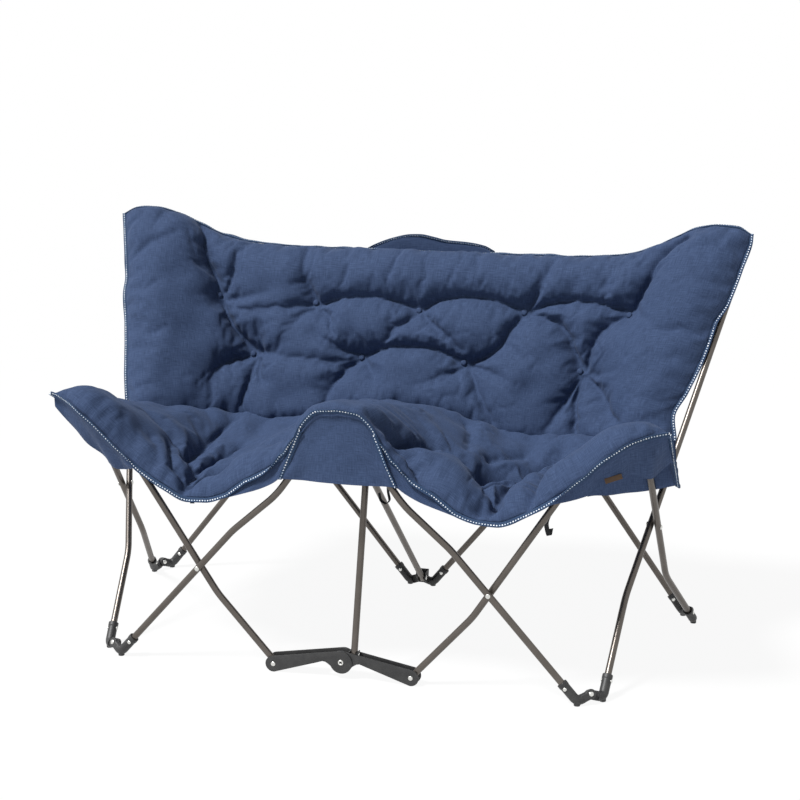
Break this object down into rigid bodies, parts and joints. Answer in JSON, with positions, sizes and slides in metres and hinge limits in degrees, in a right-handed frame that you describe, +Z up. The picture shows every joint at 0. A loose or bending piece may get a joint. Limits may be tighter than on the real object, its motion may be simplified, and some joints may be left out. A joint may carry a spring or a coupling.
{
  "type": "folding camping loveseat",
  "caption": "Padded sling loveseat on crossed steel tube legs with elbow feet and a hinged floor brace; it folds up like an umbrella into an upright bundle.",
  "frame": {"origin": "on the floor under the middle of the bounding box", "axes": "+Z up, -Y towards the sitter's front, +X to the right as seen from the front"},
  "size_m": [1.5724, 0.7853, 0.9406],
  "materials": {
    "tube": "satin powder coat",
    "plastic": "matte",
    "rivet": "bright",
    "cloth": "woven"
  },
  "bodies": {
    "base": {"rear_bracket": "plastic", "foot_rivet_middle": "rivet", "strut_pin": "rivet"},
    "rear_back_left": {"rear_back_leg_left": "tube", "foot_rear_middle_left": "plastic", "rear_rivet_left": "rivet"},
    "rear_cross_left": {"rear_cross_leg_left": "tube", "foot_rear_cross_left": "plastic", "foot_rivet_rear_left": "rivet"},
    "side_rear_left": {"side_leg_rear_left": "tube", "foot_side_rear_left": "plastic", "side_rivet_left": "rivet"},
    "side_front_left": {"side_leg_front_left": "tube", "foot_side_front_left": "plastic"},
    "brace_left": {"brace_bar_left": "plastic", "brace_rivet_left": "rivet"},
    "brace_leg_left": {"brace_leg_left": "tube", "front_rivet_left": "rivet"},
    "front_cross_left": {"front_cross_leg_left": "tube", "foot_front_cross_left": "plastic", "foot_rivet_front_left": "rivet"},
    "rear_back_right": {"rear_back_leg_right": "tube", "foot_rear_middle_right": "plastic", "rear_rivet_right": "rivet"},
    "rear_cross_right": {"rear_cross_leg_right": "tube", "foot_rear_cross_right": "plastic", "foot_rivet_rear_right": "rivet"},
    "side_rear_right": {"side_leg_rear_right": "tube", "foot_side_rear_right": "plastic", "side_rivet_right": "rivet"},
    "side_front_right": {"side_leg_front_right": "tube", "foot_side_front_right": "plastic"},
    "brace_right": {"brace_bar_right": "plastic", "brace_rivet_right": "rivet"},
    "brace_leg_right": {"brace_leg_right": "tube", "front_rivet_right": "rivet"},
    "front_cross_right": {"front_cross_leg_right": "tube", "foot_front_cross_right": "plastic", "foot_rivet_front_right": "rivet"},
    "strut": {"centre_strut": "tube", "centre_rivet": "rivet"},
    "post": {"centre_post": "tube", "post_pin": "rivet"},
    "hub": {"hub_bracket": "plastic", "hub_pin": "rivet"},
    "back_cover": {"back_cushion": "cloth", "pocket_back_left": "cloth", "pocket_back_right": "cloth", "pocket_back_centre": "cloth"},
    "seat_cover": {"seat_cushion": "cloth", "pocket_arm_left": "cloth", "pocket_arm_right": "cloth", "pocket_front_centre": "cloth"}
  },
  "joints": [
    {"name": "fold", "type": "hinge", "parent": "base", "child": "strut", "pos_m": [0.01, 0.2569, 0.03], "axis": [-1, 0, 0], "range_deg": [0, 36.06], "deforming": ["back_cushion", "pocket_back_left", "pocket_back_right", "pocket_back_centre", "seat_cushion", "pocket_arm_left", "pocket_arm_right", "pocket_front_centre"]},
    {"name": "post_turn", "type": "hinge", "parent": "strut", "child": "post", "pos_m": [0.0182, -0.25738, 0.47684], "axis": [1, 0, 0], "range_deg": [0, 47.58]},
    {"name": "hub_turn", "type": "hinge", "parent": "post", "child": "hub", "pos_m": [0.0264, -0.3599, 0.054], "axis": [-1, 0, 0], "range_deg": [0, 11.26]},
    {"name": "rear_back_turn_left", "type": "hinge", "parent": "base", "child": "rear_back_left", "pos_m": [0, 0.2889, 0.02], "axis": [0, 0.9877, -0.1561], "range_deg": [0, 34.91]},
    {"name": "rear_cross_turn_left", "type": "hinge", "parent": "rear_back_left", "child": "rear_cross_left", "pos_m": [-0.35938, 0.30172, 0.40698], "axis": [0.0975, -0.991, 0.0918], "range_deg": [0, 68.32]},
    {"name": "rear_foot_turn_left", "type": "hinge", "parent": "rear_cross_left", "child": "side_rear_left", "pos_m": [-0.683, 0.2199, 0.02], "axis": [-0.8033, 0.5747, -0.1564], "range_deg": [0, 55.65]},
    {"name": "side_cross_turn_left", "type": "hinge", "parent": "side_rear_left", "child": "side_front_left", "pos_m": [-0.63406, -0.08829, 0.31954], "axis": [0.9721, 0.2028, 0.1177], "range_deg": [0, 63.23]},
    {"name": "brace_turn_left", "type": "hinge", "parent": "hub", "child": "brace_left", "pos_m": [0, -0.3599, 0.038], "axis": [0, -1, 0], "range_deg": [0, 66.16]},
    {"name": "brace_leg_turn_left", "type": "hinge", "parent": "brace_left", "child": "brace_leg_left", "pos_m": [-0.157, -0.3599, 0.018], "axis": [0, 1, 0], "range_deg": [0, 97.47]},
    {"name": "front_cross_turn_left", "type": "hinge", "parent": "brace_leg_left", "child": "front_cross_left", "pos_m": [-0.32902, -0.3681, 0.22444], "axis": [0, -1, 0], "range_deg": [0, 68.36]},
    {"name": "rear_back_turn_right", "type": "hinge", "parent": "base", "child": "rear_back_right", "pos_m": [0, 0.2889, 0.02], "axis": [0, -0.9877, 0.1561], "range_deg": [0, 34.91]},
    {"name": "rear_cross_turn_right", "type": "hinge", "parent": "rear_back_right", "child": "rear_cross_right", "pos_m": [0.35938, 0.30172, 0.40698], "axis": [0.0975, 0.991, -0.0918], "range_deg": [0, 68.32]},
    {"name": "rear_foot_turn_right", "type": "hinge", "parent": "rear_cross_right", "child": "side_rear_right", "pos_m": [0.683, 0.2199, 0.02], "axis": [-0.8033, -0.5747, 0.1564], "range_deg": [0, 55.65]},
    {"name": "side_cross_turn_right", "type": "hinge", "parent": "side_rear_right", "child": "side_front_right", "pos_m": [0.63406, -0.08829, 0.31954], "axis": [0.9721, -0.2028, -0.1177], "range_deg": [0, 63.23]},
    {"name": "brace_turn_right", "type": "hinge", "parent": "hub", "child": "brace_right", "pos_m": [0, -0.3599, 0.038], "axis": [0, 1, 0], "range_deg": [0, 66.16]},
    {"name": "brace_leg_turn_right", "type": "hinge", "parent": "brace_right", "child": "brace_leg_right", "pos_m": [0.157, -0.3599, 0.018], "axis": [0, -1, 0], "range_deg": [0, 97.47]},
    {"name": "front_cross_turn_right", "type": "hinge", "parent": "brace_leg_right", "child": "front_cross_right", "pos_m": [0.32902, -0.3681, 0.22444], "axis": [0, 1, 0], "range_deg": [0, 68.36]},
    {"name": "back_cover_rise", "type": "slide", "parent": "base", "child": "back_cover", "axis": [0, 0, 1], "range_m": [0, 0.251]},
    {"name": "seat_cover_tilt", "type": "hinge", "parent": "base", "child": "seat_cover", "pos_m": [0, 0.04179, 0.31303], "axis": [-1, 0, 0], "range_deg": [0, 62.05]}
  ],
  "couplings": [
    {"joint": "post_turn", "follows": "fold", "ratio": 1.318},
    {"joint": "hub_turn", "follows": "fold", "ratio": 0.31096},
    {"joint": "rear_back_turn_left", "follows": "fold", "ratio": 0.96674},
    {"joint": "rear_cross_turn_left", "follows": "fold", "ratio": 1.8932},
    {"joint": "rear_foot_turn_left", "follows": "fold", "ratio": 1.5418},
    {"joint": "side_cross_turn_left", "follows": "fold", "ratio": 1.7523},
    {"joint": "brace_turn_left", "follows": "fold", "ratio": 1.8334},
    {"joint": "brace_leg_turn_left", "follows": "fold", "ratio": 2.7015},
    {"joint": "front_cross_turn_left", "follows": "fold", "ratio": 1.8944},
    {"joint": "rear_back_turn_right", "follows": "fold", "ratio": 0.96674},
    {"joint": "rear_cross_turn_right", "follows": "fold", "ratio": 1.8932},
    {"joint": "rear_foot_turn_right", "follows": "fold", "ratio": 1.5418},
    {"joint": "side_cross_turn_right", "follows": "fold", "ratio": 1.7523},
    {"joint": "brace_turn_right", "follows": "fold", "ratio": 1.8334},
    {"joint": "brace_leg_turn_right", "follows": "fold", "ratio": 2.7015},
    {"joint": "front_cross_turn_right", "follows": "fold", "ratio": 1.8944},
    {"joint": "back_cover_rise", "follows": "fold", "m_per_rad": 0.39724},
    {"joint": "seat_cover_tilt", "follows": "fold", "ratio": 1.7194}
  ]
}
